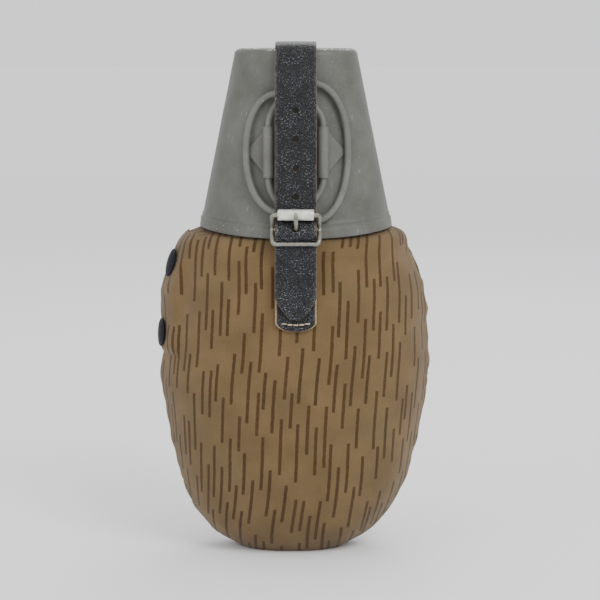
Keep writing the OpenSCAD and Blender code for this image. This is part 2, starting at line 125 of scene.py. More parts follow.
def noise(x, y, seed):
    """Smooth noise from -1 to 1."""
    xi, yi = np.floor(x), np.floor(y)
    fx, fy = ease(x - xi), ease(y - yi)

    def corner(a, b):
        h = np.sin((xi + a) * 127.1 + (yi + b) * 311.7 + seed * 74.7) * 43758.5453
        return 2 * (h - np.floor(h)) - 1

    low = corner(0, 0) * (1 - fx) + corner(1, 0) * fx
    high = corner(0, 1) * (1 - fx) + corner(1, 1) * fx
    return low * (1 - fy) + high * fy


# ---- meshes ----

ROD_SIDES, PEG_SIDES = 20, 28


def grid_faces(m, n, wrap=False, base=0, flip=False):
    out = []
    for i in range(m - 1):
        for j in range(n if wrap else n - 1):
            k = (j + 1) % n
            face = (base + i * n + j, base + i * n + k, base + (i + 1) * n + k, base + (i + 1) * n + j)
            out.append(face[::-1] if flip else face)
    return out


def make(name, points, faces, material, uv=None):
    mesh = bpy.data.meshes.new(name)
    mesh.from_pydata((np.asarray(points, float).reshape(-1, 3) * MM).tolist(), [], faces)
    mesh.materials.append(material)
    if uv is not None:
        layer = mesh.uv_layers.new(name="flat")
        loops = np.zeros(len(mesh.loops), int)
        mesh.loops.foreach_get("vertex_index", loops)
        layer.data.foreach_set("uv", np.asarray(uv, float).reshape(-1, 2)[loops].ravel())
    mesh.shade_smooth()
    obj = bpy.data.objects.new(name, mesh)
    bpy.context.scene.collection.objects.link(obj)
    return obj


def sheet(name, outer, inner, material, uv):
    """A closed sheet between two grids of points. uv is given for the outer grid."""
    m, n = outer.shape[:2]
    s = m * n
    faces = grid_faces(m, n) + grid_faces(m, n, base=s, flip=True)
    for i in range(m - 1):
        a, b = i * n, (i + 1) * n
        faces.append((a, b, s + b, s + a))
        faces.append((a + n - 1, s + a + n - 1, s + b + n - 1, b + n - 1))
    for j in range(n - 1):
        a, b = j, (m - 1) * n + j
        faces.append((a, s + a, s + a + 1, a + 1))
        faces.append((b, b + 1, s + b + 1, s + b))
    return make(name, np.concatenate([outer, inner]), faces, material, np.concatenate([uv, uv]))


def rings(points, flip=False):
    """Faces around a stack of rings, with both ends closed."""
    m, n = points.shape[:2]
    faces = grid_faces(m, n, wrap=True, flip=flip)
    first, last = tuple(range(n)), tuple(range((m - 1) * n, m * n))
    return faces + ([first, last[::-1]] if flip else [first[::-1], last])


def endless(points):
    """Faces around a stack of rings whose last one joins the first."""
    m, n = points.shape[:2]
    last = (m - 1) * n
    return grid_faces(m, n, wrap=True) + [(last + j, last + (j + 1) % n, (j + 1) % n, j) for j in range(n)]


def joined(*solids):
    """The points and the faces of several closed solids, as one list each."""
    points, faces, base = [], [], 0
    for grid, its_faces in solids:
        points.append(grid.reshape(-1, 3))
        faces += [tuple(base + i for i in f) for f in its_faces]
        base += len(points[-1])
    return np.concatenate(points), faces


def sweep(path, section):
    """Rings of a section along a path; section(i) gives points across and out."""
    p = np.array(path, float)
    t = np.gradient(p, axis=0)
    t /= np.linalg.norm(t, axis=1)[:, None]
    u = np.cross(t[0], [0, 0, 1.0] if abs(t[0][2]) < 0.9 else [0, 1.0, 0])
    out = []
    for i in range(len(p)):
        u = u - t[i] * (u @ t[i])
        u /= np.linalg.norm(u)
        v = np.cross(t[i], u)
        out.append(p[i] + section(i) @ np.array([u, v]))
    return np.array(out)


def tube_rings(path, radius):
    r = np.broadcast_to(radius, len(path))
    a = circle(ROD_SIDES)
    return sweep(path, lambda i: r[i] * stack(np.cos(a), np.sin(a)))


def tubes(name, paths, material):
    """One piece made of round rods; each path is (points, radius)."""
    rods = [tube_rings(path, radius) for path, radius in paths]
    return make(name, *joined(*[(rod, rings(rod)) for rod in rods]), material)


def lathe(profile, sides):
    """Rings of [radius, height] turned about Z."""
    a = circle(sides)
    p = np.array(profile, float)
    return stack(p[:, :1] * np.cos(a), p[:, :1] * np.sin(a), np.repeat(p[:, 1:], sides, axis=1))


def cut(obj, cutters):
    """Cuts closed shapes out of a piece."""
    for c in cutters:
        mod = obj.modifiers.new("cut", "BOOLEAN")
        mod.operation, mod.solver, mod.object = "DIFFERENCE", "EXACT", c
    bpy.context.view_layer.update()
    done = obj.evaluated_get(bpy.context.evaluated_depsgraph_get())
    mesh = bpy.data.meshes.new_from_object(done)
    obj.modifiers.clear()
    obj.data = mesh
    mesh.shade_smooth()
    for c in cutters:
        bpy.data.objects.remove(c)
    soften(obj)


def soften(obj, degrees=38):
    """Smooth faces, but sharp where they turn by more than this."""
    obj.data.set_sharp_from_angle(angle=math.radians(degrees))


# EDGE_U is the place of a cut edge in the leather's flat pattern
EDGE_U = 9.6


def peg(x, y, z, radius, length):
    """A cutter from front to back. Its sides, like a brick's, are cut leather edges."""
    a = circle(PEG_SIDES)
    across, up = x + radius * np.cos(a), z + radius * np.sin(a)
    ends = [np.full(PEG_SIDES, y + k * length / 2) for k in (1, -1)]
    points = np.array([stack(across, end, up) for end in ends])
    return make("peg", points, rings(points), LEATHER, np.full((2 * PEG_SIDES, 2), [EDGE_U, z]))


def brick(lo, hi):
    """A box-shaped cutter."""
    x, y, z = zip(lo, hi)
    points = [(a, b, c) for a in x for b in y for c in z]
    faces = [(0, 1, 3, 2), (4, 6, 7, 5), (0, 4, 5, 1), (2, 3, 7, 6), (0, 2, 6, 4), (1, 5, 7, 3)]
    return make("brick", points, faces, LEATHER, np.full((8, 2), [EDGE_U, 0]))


def finish_piece(obj, body, slot, *replaced):
    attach(obj, body)
    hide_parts(*replaced)


# ---- materials ----


class Surface:
    """A Principled material and short ways to add nodes to it."""

    def __init__(self, name, **inputs):
        self.mat = bpy.data.materials.new(name)
        self.mat.use_nodes = True
        self.tree = self.mat.node_tree
        self.bsdf = self.tree.nodes["Principled BSDF"]
        for key, value in inputs.items():
            self.bsdf.inputs[key.replace("_", " ")].default_value = value

    def add(self, kind, inputs, out=0, **settings):
        node = self.tree.nodes.new("ShaderNode" + kind)
        for key, value in settings.items():
            setattr(node, key, value)
        for key, value in inputs.items():
            if isinstance(value, bpy.types.NodeSocket):
                self.tree.links.new(value, node.inputs[key])
            else:
                node.inputs[key].default_value = value
        return node.outputs[out]

    def math(self, operation, a, b=0.0, c=0.0):
        return self.add("Math", {0: a, 1: b, 2: c}, operation=operation)

    def plus(self, a, b):
        return self.math("ADD", a, b)

    def minus(self, a, b):
        return self.math("SUBTRACT", a, b)

    def times(self, a, b):
        return self.math("MULTIPLY", a, b)

    def away(self, value, middle=0.0):
        """How far a value is from the middle."""
        return self.math("ABSOLUTE", self.minus(value, middle) if middle else value)

    def flat(self):
        """The piece's own flat pattern, in millimetres."""
        return self.add("UVMap", {}, uv_map="flat")

    def solid(self):
        """Places in the piece, in millimetres."""
        place = self.add("TexCoord", {}, out="Object")
        return self.add("VectorMath", {0: place, "Scale": 1000.0}, operation="SCALE")

    def parts(self, vector):
        node = self.tree.nodes.new("ShaderNodeSeparateXYZ")
        self.tree.links.new(vector, node.inputs[0])
        return node.outputs

    def noise(self, where, size, detail=3.0, rough=0.5, stretch=None):
        """Noise from 0 to 1 whose features are size across."""
        if stretch:
            where = self.add("VectorMath", {0: where, 1: stretch}, operation="MULTIPLY")
        inputs = {"Vector": where, "Scale": 1.0 / size, "Detail": detail, "Roughness": rough}
        return self.add("TexNoise", inputs)

    def span(self, value, low, high, to_low=0.0, to_high=1.0):
        return self.add("MapRange", {0: value, 1: low, 2: high, 3: to_low, 4: to_high}, clamp=True)

    def mix(self, factor, a, b):
        a = a if isinstance(a, bpy.types.NodeSocket) else (*a, 1.0)
        b = b if isinstance(b, bpy.types.NodeSocket) else (*b, 1.0)
        return self.add("Mix", {0: factor, 6: a, 7: b}, out=2, data_type="RGBA")

    def bump(self, height, distance_mm, strength=1.0, normal=None):
        inputs = {"Height": height, "Distance": distance_mm * MM, "Strength": strength}
        if normal is not None:
            inputs["Normal"] = normal
        return self.add("Bump", inputs)

    def drive(self, **sockets):
        for key, value in sockets.items():
            self.tree.links.new(value, self.bsdf.inputs[key.replace("_", " ")])
        return self.mat


def srgb(r, g, b):
    return tuple(((c / 255 + 0.055) / 1.055) ** 2.4 if c > 10 else c / 255 / 12.92 for c in (r, g, b))


CLOTH_SHADE, PAINT_SHADE = 0.74, 0.68
STRIPE_PITCH, STRIPE_PERIOD, STRIPE_SLANT = 3.75, 38.0, 0.046
THREAD_PITCH = 0.55


def printed_stripes(s, flat, u, v):
    """Where the short upright stripes lie, and a random value for each of them."""
    wobble = s.times(s.minus(s.noise(flat, 2.2, 1.0), 0.5), 0.35)
    across = s.plus(s.minus(u, s.times(v, STRIPE_SLANT)), wobble)
    columns = s.math("DIVIDE", across, STRIPE_PITCH)
    column = s.math("FLOOR", columns)
    jump = s.add("TexWhiteNoise", {"W": column}, noise_dimensions="1D")
    odd = s.math("MODULO", s.plus(column, 400.0), 2.0)
    offset = s.plus(s.times(jump, 15.0), s.times(odd, STRIPE_PERIOD / 2))
    turn = s.math("DIVIDE", s.plus(v, offset), STRIPE_PERIOD)
    here = s.math("FRACT", turn)
    pair = s.add("CombineXYZ", {0: column, 1: s.math("FLOOR", turn)})
    dice = s.parts(s.add("TexWhiteNoise", {"Vector": pair}, out="Color", noise_dimensions="2D"))
    length = s.math("MULTIPLY_ADD", dice[0], 0.34, 0.42)
    start = s.times(s.minus(0.95, length), dice[1])
    sideways = s.times(s.minus(dice[2], 0.5), 1.5)
    centre = s.times(s.minus(s.math("FRACT", columns), 0.5), STRIPE_PITCH)
    wide = s.span(s.away(centre, sideways), 0.6, 0.84, 1.0, 0.0)
    begun = s.span(s.minus(here, start), 0.0, 0.012)
    ended = s.span(s.minus(s.plus(start, length), here), 0.0, 0.012)
    return s.times(wide, s.times(begun, ended)), dice[2]


def cloth_material():
    """Printed cotton: short upright stripes on tan, a fine weave and faint stains."""
    s = Surface("cloth", Roughness=0.92, Sheen_Weight=0.12, Sheen_Roughness=0.5, Specular_IOR_Level=0.2)
    flat = s.flat()
    u, v = s.parts(flat)[:2]
    light, dark, green, red, thread = (
        srgb(*(c * CLOTH_SHADE for c in colour))
        for colour in ((150, 122, 82), (134, 108, 71), (126, 114, 78), (148, 112, 76), (98, 78, 52))
    )
    colour = s.mix(s.span(s.noise(flat, 17.0, 2.0), 0.35, 0.65), dark, light)
    faded = s.noise(flat, 26.0, 3.0, 0.55, (1.0, 1.0, 5.0))
    colour = s.mix(s.span(faded, 0.54, 0.72, 0.0, 0.55), colour, green)
    shifted = s.add("VectorMath", {0: flat, 1: (91.0, 47.0, 0.0)}, operation="ADD")
    colour = s.mix(s.span(s.noise(shifted, 13.0, 3.0, 0.6), 0.56, 0.74, 0.0, 0.4), colour, red)
    grain = s.noise(flat, 0.8, 2.0, 0.7)
    stripe, chance = printed_stripes(s, flat, u, v)
    ink = s.mix(chance, srgb(54, 36, 14), srgb(64, 39, 15))
    worn = s.span(s.noise(flat, 1.1, 2.0, 0.6), 0.3, 0.75, 1.0, 0.72)
    colour = s.mix(s.times(stripe, worn), colour, ink)
    colour = s.mix(s.span(grain, 0.3, 0.7, 0.0, 0.22), colour, thread)
    warp, weft = (s.math("SINE", s.times(along, 2 * math.pi / THREAD_PITCH)) for along in (u, v))
    normal = s.bump(s.times(warp, weft), 0.06, 0.5)
    normal = s.bump(grain, 0.12, 0.6, normal)
    normal = s.bump(s.noise(flat, 4.5, 3.0, 0.55), 0.5, 0.35, normal)
    return s.drive(Base_Color=colour, Normal=normal)


def felt_material():
    s = Surface("felt", Roughness=1.0, Sheen_Weight=0.3, Specular_IOR_Level=0.1)
    where = s.solid()
    tufts = s.noise(where, 1.4, 5.0, 0.7)
    colour = s.mix(s.span(tufts, 0.3, 0.7), srgb(88, 84, 76), srgb(128, 122, 108))
    colour = s.mix(s.span(s.noise(where, 9.0, 2.0), 0.5, 0.7, 0.0, 0.5), colour, srgb(106, 92, 74))
    return s.drive(Base_Color=colour, Normal=s.bump(tufts, 0.7, 0.9))


def tape_material():
    s = Surface("tape", Roughness=0.9, Sheen_Weight=0.15, Specular_IOR_Level=0.2)
    where = s.solid()
    x, y = s.parts(where)[:2]
    turn = s.math("ARCTAN2", y, x)
    ribs = s.math("SINE", s.times(turn, 260.0))
    threads = s.noise(where, 0.7, 2.0)
    colour = s.mix(s.span(ribs, -1.0, 1.0, 0.0, 0.55), srgb(104, 82, 56), srgb(128, 104, 74))
    colour = s.mix(s.span(threads, 0.35, 0.7, 0.0, 0.3), colour, srgb(84, 66, 44))
    return s.drive(Base_Color=colour, Normal=s.bump(threads, 0.15, 0.7, s.bump(ribs, 0.12, 0.6)))


def paint_material(name, colour, chips, chip_size, edges=None):
    """Grey enamel on aluminium, chipped to the metal, most of all at two heights."""
    colour = [c * PAINT_SHADE for c in colour]
    s = Surface(name, Specular_IOR_Level=0.35)
    where = s.solid()
    z = s.parts(where)[2]
    cloud = s.noise(where, 14.0)
    fine = s.noise(where, 1.3, 3.0, 0.6)
    base = s.mix(s.span(cloud, 0.35, 0.68), srgb(*(c - 8 for c in colour)), srgb(*(c + 6 for c in colour)))
    base = s.mix(s.span(fine, 0.52, 0.75, 0.0, 0.35), base, srgb(*(c + 24 for c in colour)))
    spots = s.noise(where, chip_size, 4.0, 0.6)
    limit = chips
    if edges:
        low, high = edges
        top = s.span(z, high - 1.6, high, 0.0, 0.17)
        rim = s.span(s.away(z, low), 0.0, 4.5, 0.085, 0.0)
        limit = s.minus(s.minus(chips, top), rim)
    bare = s.span(s.minus(spots, limit), 0.0, 0.02)
    base = s.mix(bare, base, srgb(205, 205, 198))
    scratch = s.noise(where, 0.7, 2.0, 0.5, (1.0, 1.0, 0.07))
    scratch = s.times(s.span(scratch, 0.66, 0.7), s.span(cloud, 0.5, 0.6))
    base = s.mix(s.times(scratch, 0.35), base, srgb(150, 150, 144))
    peel = s.noise(where, 1.9, 2.0)
    normal = s.bump(peel, 0.05, 0.7)
    normal = s.bump(s.minus(1.0, bare), 0.12, 0.8, normal)
    rough = s.span(fine, 0.3, 0.75, 0.42, 0.56)
    return s.drive(Base_Color=base, Normal=normal, Roughness=rough)


# BACK_U is the place of the rough back in the flat pattern
BACK_U, PEBBLE = 60.0, 1.15


def leather_material(name, shine):
    """Black grained leather with a gloss and painted glints: bright specks, densest at the buckle and the
    tongue. Past 9 mm across the flat pattern lie its raw tan edges.
    """
    s = Surface(name, Specular_IOR_Level=0.26, Coat_Weight=0.05, Coat_Roughness=0.2)
    flat = s.flat()
    u = s.parts(flat)[0]
    wave = s.noise(flat, 1.6, 3.0, 0.6)
    warped = s.add("VectorMath", {0: flat, 1: s.add("CombineXYZ", {0: wave, 1: wave})}, operation="ADD")
    grid = {"Vector": warped, "Scale": 1.0 / PEBBLE}
    pebbles = s.add("TexVoronoi", grid, out="Distance", feature="DISTANCE_TO_EDGE")
    cloud = s.noise(flat, 6.5, 3.0, 0.6)
    colour = s.mix(s.span(cloud, 0.35, 0.7), srgb(6, 7, 10), srgb(14, 15, 19))
    creases = s.noise(flat, 2.4, 4.0, 0.6, (0.4, 2.2, 1.0))
    colour = s.mix(s.span(creases, 0.62, 0.72, 0.0, 0.4), colour, srgb(70, 70, 72))
    z = s.parts(s.solid())[2]
    # painted highlight: bright specks stand in for the leather's glints, more of them near the buckle and the
    # tongue
    at_buckle = s.span(s.away(z, 145.5), 2.0, 5.0, 0.07, 0.0)
    at_tongue = s.span(s.away(z, 113.0), 2.0, 13.0, 0.03, 0.0)
    glint_boost = s.plus(at_buckle, at_tongue)
    painted_glints = s.span(s.plus(s.noise(flat, 0.62, 2.0, 0.65), glint_boost), 0.56, 0.76)
    painted_glints = s.times(painted_glints, s.span(cloud, 0.38, 0.6, 0.2, 0.9))
    colour = s.mix(painted_glints, colour, srgb(150, 152, 160))
    across = s.away(u)
    rub = s.times(s.span(across, 7.6, 9.2), s.span(s.noise(flat, 2.4, 3.0, 0.6), 0.4, 0.62))
    colour = s.mix(s.times(rub, 0.35), colour, srgb(104, 98, 88))
    side = s.times(s.span(across, 9.25, 9.45), s.span(across, 40.0, 40.1, 1.0, 0.0))
    raw = s.mix(s.noise(flat, 0.8), srgb(112, 92, 66), srgb(168, 148, 116))
    colour = s.mix(side, colour, raw)
    back = s.span(across, BACK_U - 1.0, BACK_U - 0.9)
    fuzz = s.mix(s.noise(flat, 1.0, 4.0, 0.7), srgb(62, 50, 38), srgb(96, 78, 58))
    colour = s.mix(back, colour, fuzz)
    rough = s.span(s.noise(flat, 1.1, 3.0, 0.7), 0.3, 0.7, shine, shine + 0.3)
    rough = s.math("MAXIMUM", rough, s.times(s.math("MAXIMUM", side, back), 0.85))
    normal = s.bump(s.span(pebbles, 0.0, 0.16), 0.16, 0.8)
    normal = s.bump(s.noise(flat, 0.55, 2.0, 0.6), 0.14, 0.85, normal)
    normal = s.bump(creases, 0.3, 0.5, normal)
    return s.drive(Base_Color=colour, Normal=normal, Roughness=rough)


def metal_material(name, colour, rough, rust=0.0, rust_past=None, metallic=1.0, pits=0.3):
    """Plain metal with fine wear; rust_past keeps the rust to both ends."""
    s = Surface(name, Metallic=metallic)
    where = s.solid()
    cloud = s.noise(where, 3.0, 4.0, 0.6)
    base = s.mix(s.span(cloud, 0.35, 0.7), srgb(*(c * 0.84 for c in colour)), srgb(*colour))
    fine = s.noise(where, 0.5, 3.0, 0.6)
    roughness = s.span(fine, 0.3, 0.7, rough * 0.7, rough * 1.35)
    if rust:
        spots = s.noise(where, 1.4, 4.0, 0.65)
        mask = s.span(spots, 0.62 - rust, 0.72 - rust)
        if rust_past:
            mask = s.times(mask, s.span(s.away(s.parts(where)[0]), rust_past, rust_past + 1.2))
        base = s.mix(s.times(mask, 0.8), base, srgb(104, 76, 50))
        roughness = s.math("MAXIMUM", roughness, s.times(mask, 0.8))
    normal = s.bump(s.noise(where, 1.1, 3.0, 0.6), 0.12, pits)
    return s.drive(Base_Color=base, Roughness=roughness, Normal=s.bump(fine, 0.03, 0.5, normal))


def plastic_material(name, colour, rough, gloss=0.5):
    """Even colour with a faint cloudiness and fine wear."""
    s = Surface(name, Specular_IOR_Level=gloss)
    where = s.solid()
    cloud = s.noise(where, 5.0)
    fine = s.noise(where, 0.6, 3.0, 0.6)
    base = s.mix(s.span(cloud, 0.35, 0.7), srgb(*colour), srgb(*(c * 1.25 + 4 for c in colour)))
    base = s.mix(s.span(fine, 0.6, 0.75, 0.0, 0.25), base, srgb(120, 118, 112))
    roughness = s.span(fine, 0.3, 0.7, rough, rough + 0.15)
    return s.drive(Base_Color=base, Roughness=roughness, Normal=s.bump(fine, 0.06, 0.6))


CLOTH = cloth_material()
FELT = felt_material()
TAPE = tape_material()
CUP_PAINT = paint_material("cup_paint", (128, 128, 121), 0.742, 1.9, (145.0, 223.6))
# the wires and the bracket plate wear the cup's grey enamel; their colours are painted lighter than the
# cup's, painted light that offsets the shade they get in the recess on the cup's front
WIRE_PAINT_LIGHTENED = paint_material("wire_paint", (146, 147, 141), 0.70, 2.6)
PLATE_PAINT_LIGHTENED = paint_material("plate_paint", (141, 141, 134), 0.725, 2.4)
LEATHER = leather_material("strap_leather", 0.27)
LOOP_LEATHER = leather_material("loop_leather", 0.42)
FLASK = metal_material("flask_metal", (184, 184, 180), 0.38, pits=0.5)
BUCKLE = metal_material("buckle_steel", (146, 146, 136), 0.34, rust=0.04, metallic=0.85)
ROLLER = metal_material("roller_steel", (228, 228, 218), 0.36, rust=0.1, rust_past=6.4, metallic=0.35)
RIVET = metal_material("rivet_steel", (170, 168, 160), 0.36, rust=0.05)
SNAP = plastic_material("snap_paint", (5, 6, 14), 0.5, 0.1)
CAP = plastic_material("cap_plastic", (24, 24, 25), 0.38)
SEAL = plastic_material("seal_rubber", (120, 52, 40), 0.6)
THREAD = plastic_material("thread", (150, 140, 112), 0.8)

# these CAD nodes keep their own shape
for node, material in {
    "screw_cap": CAP,
    "cap_seal": SEAL,
    "snap_sockets": RIVET,
    "snap_studs": RIVET,
    "snap_backs": RIVET,
    "hinge_saddle": PLATE_PAINT_LIGHTENED,
    "bracket_rivets": PLATE_PAINT_LIGHTENED,
    "belt_loop_rivets": RIVET,
    "anchor_rivets": RIVET,
}.items():
    nodes[node].data.materials.clear()
    nodes[node].data.materials.append(material)


# ---- the cover's outline ----

# [height, half width, front depth, back depth], depths from the side seams
COVER_ROWS = [
    [-0.4, 1.5, 1.5, 1.5], [-0.3, 19, 14, 10], [2, 25, 18.5, 13.5], [9, 34.2, 25.8, 18.5],
    [20, 42.5, 32.5, 22.5], [36, 50, 38, 26], [58, 55.5, 42.5, 28.8], [82, 58.9, 45, 30],
    [104, 58.2, 44.3, 29.8], [120, 56.4, 42, 28.6], [133, 53, 38.3, 26.5], [141, 49.5, 35, 24.6],
    [144, 44.5, 31.5, 22.5], [146, 38, 28, 21], [147, 32, 25, 20],
]
BODY_E, CUP_E, SEAM_Y = 2.15, 2.3, 3.0
CLOTH_T, FELT_T, GAP = 1.2, 2.4, 0.3
body_rows = even(refine(COVER_ROWS, 8), 1.6)
body_rows[0] = [-0.05, 0.4, 0.4, 0.4]
body_rows[:, 0] = np.maximum(body_rows[:, 0], 0.0)
run = lengths(body_rows[:, [0, 2]])


def oval(rows, turn, e, y0, dip):
    """Points of the rows at the turns (degrees), as a grid."""
    t = np.radians(turn)
    t = np.broadcast_to(t, (len(rows), t.shape[-1]))
    c, s = power(np.cos(t), 2 / e), power(np.sin(t), 2 / e)
    depth = np.where(s < 0, rows[:, 2:3], rows[:, 3:4])
    z = rows[:, 0:1] - dip[:, None] * np.sin(t) ** 2
    return stack(rows[:, 1:2] * c, y0 + depth * s, z)


def body_dip(z):
    return 2.0 * ease((z - 100) / 40)


def sway(z, table):
    """A smooth run through a table of [height, distance]."""
    table = np.array(table, float)
    return sum(np.interp(z + o, table[:, 0], table[:, 1]) for o in np.linspace(-4, 4, 9)) / 9


# [height, distance to the left], for the left edge and for the right one
LEAN_LEFT = [[0, 3.2], [5, 4.0], [10, 4.3], [17, 3.9], [24, 2.7], [32, 2.0], [60, 1.9], [80, 1.4], [92, 0]]
LEAN_RIGHT = [
    [0, 0.4], [4, 0.6], [20, 0], [40, -0.6], [60, 0], [118, 0], [127, 1.0], [136, 2.4], [141, 1.6], [145, 0],
]


def body_grid(rows, turn):
    """Points of the cloth's plain outline, which leans to the left near the foot."""
    p = oval(rows, turn, BODY_E, SEAM_Y, body_dip(rows[:, 0]))
    share = 0.5 * (1 + p[..., 0] / rows[:, 1:2])
    z = rows[:, 0:1]
    p[..., 0] -= sway(z, LEAN_LEFT) * (1 - share) + sway(z, LEAN_RIGHT) * share
    return p


def inset(rows, d):
    """Rows moved inwards, square to the outline."""
    before, after = np.vstack([rows[:1], rows[:-1]]), np.vstack([rows[1:], rows[-1:]])
    v = after - before
    out = rows.copy()
    out[:, 0] += d * v[:, 1] / np.hypot(v[:, 0], v[:, 1])
    for k in (1, 2, 3):
        out[:, k] -= d * v[:, 0] / np.hypot(v[:, 0], v[:, k])
    return out


def normals(p):
    """Unit normals of a grid, pointing out of the cover."""
    n = np.cross(np.gradient(p, axis=1), np.gradient(p, axis=0))
    size = np.linalg.norm(n, axis=2, keepdims=True)
    return n / np.maximum(size, 1e-9)


def arc_from(rows, turn, centre):
    """Length along each row from the turn called centre, negative before it."""
    fine = np.linspace(-190, 190, 761) + centre
    p = body_grid(rows, fine)
    steps = np.linalg.norm(np.diff(p, axis=1), axis=2)
    s = np.pad(np.cumsum(steps, axis=1), ((0, 0), (1, 0)))
    middle = len(fine) // 2
    s -= s[:, middle : middle + 1]
    t = np.broadcast_to(turn, (len(rows), np.shape(turn)[-1]))
    return np.array([np.interp(t[i], fine, s[i]) for i in range(len(rows))])


# ---- cloth ----


def seam_relief(d, v, seed):
    """Height of the cloth beside a seam: it pulls in at the seam and puckers away from it."""
    away = np.abs(d)
    groove = -1.15 * bell(away / 1.5)
    puff = 0.75 * bell((away - 6.5) / 4.5)
    side = seed + np.where(d < 0, 3, 9)
    pucker = noise(v / 6.0, away / 26.0, side) + 0.55 * noise(v / 3.1 + 0.15 * away, away / 18.0, side + 1)
    return groove + puff + 1.25 * pucker * ease(away / 3.0) * np.exp(-away / 8.0)


def relief(p, rows, t, z, along):
    """Height of the front and back cloth over the plain outline."""
    right = arc_from(rows, t + np.where(t < 180, 360.0, 0.0), 360.0)
    left = arc_from(rows, t, 180.0)
    low = ease((z - 1.0) / 9.0)
    high = 1 - 0.75 * ease((z - 139.5) / 5.0)
    h = seam_relief(right, along, 1) * low * high
    below_slit = 1 - ease((z - 86) / 4)
    h = h + seam_relief(left, along, 5) * low * below_slit
    # the corner of the shoulder stands up beside the cup
    h = h + 0.5 * bell(right / 11.0) * bell((z - 142.5) / 3.2)
    # broad, shallow unevenness of padded cloth
    x = p[..., 0]
    uneven = 0.42 * noise(x / 23.0, z / 27.0, 21) + 0.16 * noise(x / 9.0, z / 12.0, 22)
    h = h + uneven * low * high
    # short tucks below the cup and above the foot
    h = h + 0.4 * noise(x / 5.0, z / 22.0, 31) * bell((z - 137) / 5.5) * high
    around = np.degrees(np.arctan2(p[..., 1] - SEAM_Y, x))
    h = h + 0.55 * noise(around / 9.0, z / 16.0, 33) * bell((z - 9) / 8.0) * low
    return h


# Where each panel's flat pattern is centred, and how far along it lies
FRONT_PATTERN, BACK_PATTERN = (270.0, 0.0), (90.0, 400.0)


def cloth_piece(name, part, turn, pattern, extra=None):
    """A stretch of the cover's cloth over part of its rows. extra can change its height."""
    rows = body_rows[part]
    t, z, along = np.broadcast_arrays(turn, rows[:, 0:1], run[part, None])
    centre, shift = pattern
    p = body_grid(rows, turn)
    n = normals(p)
    h = relief(p, rows, t, z, along)
    if extra:
        h = extra(rows, t, z, along, h)
    outer = p + n * h[..., None]
    outer[..., 2] = np.maximum(outer[..., 2], 0.0)
    inner = outer - n * (CLOTH_T - 0.1)
    inner[..., 2] = np.maximum(inner[..., 2], 0.02)
    uv = stack(arc_from(rows, turn, centre) + shift, along)
    obj = sheet(name, outer[:, ::-1], inner[:, ::-1], CLOTH, uv[:, ::-1])
    soften(obj, 62)
    return obj


SLIT_Z, FOLD_T, FLAP_FREE_T, FLAP_HIGH_Z = 88.8, 214.5, 172.0, 142.6


def turns(first, last, step):
    return np.linspace(first, last, int(abs(last - first) / step) + 1)


slit_row, flap_row = (int(np.argmin(np.abs(body_rows[:, 0] - z))) for z in (SLIT_Z, FLAP_HIGH_Z))

front = cloth_piece("cover_front_cloth", slice(None), turns(FOLD_T, 359.7, 0.85), FRONT_PATTERN)
finish_piece(front, ROOT, "cloth", "cover_front")
low_rows, low_turn = slice(0, slit_row + 1), turns(180.3, FOLD_T, 0.85)
front_low = cloth_piece("cover_front_cloth_side", low_rows, low_turn, FRONT_PATTERN)
finish_piece(front_low, ROOT, "cloth", "cover_front")
back = cloth_piece("cover_back_cloth", slice(None), turns(0.3, 179.7, 0.9), BACK_PATTERN)
finish_piece(back, ROOT, "cloth", "cover_back")


def under_flap(rows, t, z, along, h):
    """The back panel's cloth lies a little lower under the flap."""
    return h - 0.25


under_rows, under_turn = slice(slit_row - 1, len(body_rows)), turns(179.7, FOLD_T - 0.4, 0.9)
under = cloth_piece("cover_back_cloth_side", under_rows, under_turn, BACK_PATTERN, under_flap)
finish_piece(under, ROOT, "cloth", "cover_back")

SNAP_T, SNAP_ZS = 193.0, (98.5, 129.0)


def flap_shape(rows, t, z, along, h):
    """The flap rises from its fold over the back panel and bulges between its snaps."""
    lift = ease((FOLD_T - t) / 9.0) * ease((z - SLIT_Z) / 3.0)
    d = arc_from(rows, t, SNAP_T)
    nearest = np.minimum(*(np.hypot(d, z - snap) for snap in SNAP_ZS))
    pinned = np.exp(-((nearest / 8.0) ** 4))
    bulge = 1.1 * bell((z - 115.5) / 8.5) * ease((FOLD_T - 3 - t) / 16.0)
    bulge = bulge * (1 - 0.8 * ease((z - 136) / 5))
    waves = 0.7 * noise(along / 7.0, d / 19.0, 51) + 0.3 * noise(along / 3.4, d / 12.0, 52)
    top = ease((z - 136.5) / 5.5)
    free = bulge + waves * lift * (1 - 0.7 * top)
    return h * (1 - lift) + lift * (2.25 - 1.2 * top) + free * (1 - pinned)


flap_rows = slice(slit_row, flap_row + 1)
flap_turn = turns(FLAP_FREE_T, FOLD_T, 0.7)
flap = cloth_piece("cover_flap_cloth", flap_rows, flap_turn, FRONT_PATTERN, flap_shape)
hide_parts("cover_flap")
fold = body_grid(body_rows[[slit_row, flap_row]], np.array([FOLD_T, 207.0]))
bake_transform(flap)

# ---- lining and binding ----


def bowl_rows(d_outer, d_inner):
    """Rows up the outer side and down the inner side of a bowl inside the cover."""
    rows = refine(COVER_ROWS, 4)
    return np.vstack([inset(rows, d_outer), inset(rows, d_inner)[::-1]])


round_turn = np.linspace(0, 360, 120, endpoint=False)
felt_d = CLOTH_T + GAP
felt_points = body_grid(bowl_rows(felt_d + 0.1, felt_d + FELT_T), round_turn)
felt = make("lining_felt", felt_points, rings(felt_points), FELT)
soften(felt, 50)
finish_piece(felt, ROOT, "felt", "cover_lining")

last_row = np.array(COVER_ROWS[-1], float)
